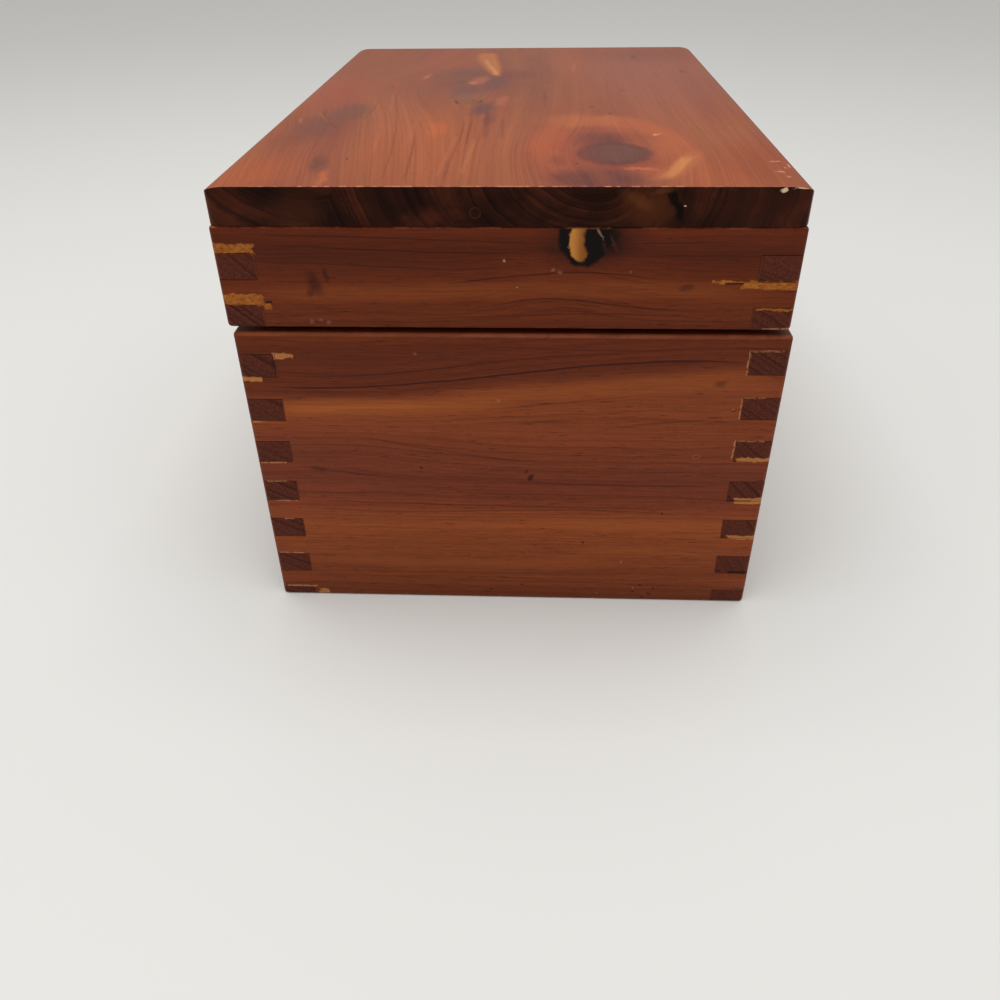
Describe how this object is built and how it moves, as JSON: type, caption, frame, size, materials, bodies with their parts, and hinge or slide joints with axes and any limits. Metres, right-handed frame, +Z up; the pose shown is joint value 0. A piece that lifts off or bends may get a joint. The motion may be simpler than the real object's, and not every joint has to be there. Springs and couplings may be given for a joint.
{
  "type": "recipe card box",
  "caption": "Small cedar box with finger-jointed corners and a hinged lid cut from the same carcase, for a stack of standing recipe cards.",
  "frame": {"origin": "centre of the base, on the underside of the bottom panel, which lies level with the lower edges of the four walls", "axes": "+X along the box's long side, to the right as seen from the front, -Y out of the front, +Y out of the hinged back, +Z up through the lid"},
  "size_m": [0.162, 0.1116, 0.0942],
  "materials": {
    "cedar_wall": "satin varnish over straight-grained red cedar, with dark growth lines",
    "cedar_knotty": "satin varnish over knotty red cedar",
    "cedar_panel": "bare, plain cedar",
    "brass_hinge": "plain stamped brass, slightly dulled",
    "brass_screw": "turned brass, slotted head"
  },
  "bodies": {
    "body": {"body_front_wall": "cedar_wall", "body_back_wall": "cedar_wall", "body_left_wall": "cedar_wall", "body_right_wall": "cedar_wall", "body_bottom_panel": "cedar_panel", "left_hinge_body_leaf": "brass_hinge", "left_hinge_pin": "brass_hinge", "left_hinge_body_screw_1": "brass_screw", "left_hinge_body_screw_2": "brass_screw", "right_hinge_body_leaf": "brass_hinge", "right_hinge_pin": "brass_hinge", "right_hinge_body_screw_1": "brass_screw", "right_hinge_body_screw_2": "brass_screw"},
    "lid": {"lid_front_rim": "cedar_wall", "lid_back_rim": "cedar_wall", "lid_left_rim": "cedar_wall", "lid_right_rim": "cedar_wall", "lid_top_board": "cedar_knotty", "left_hinge_lid_leaf": "brass_hinge", "left_hinge_lid_screw_1": "brass_screw", "left_hinge_lid_screw_2": "brass_screw", "right_hinge_lid_leaf": "brass_hinge", "right_hinge_lid_screw_1": "brass_screw", "right_hinge_lid_screw_2": "brass_screw"}
  },
  "joints": [
    {"name": "lid_hinge", "type": "hinge", "parent": "body", "child": "lid", "pos_m": [0, 0.05628, 0.0671], "axis": [-1, 0, 0], "range_deg": [0, 188]}
  ]
}
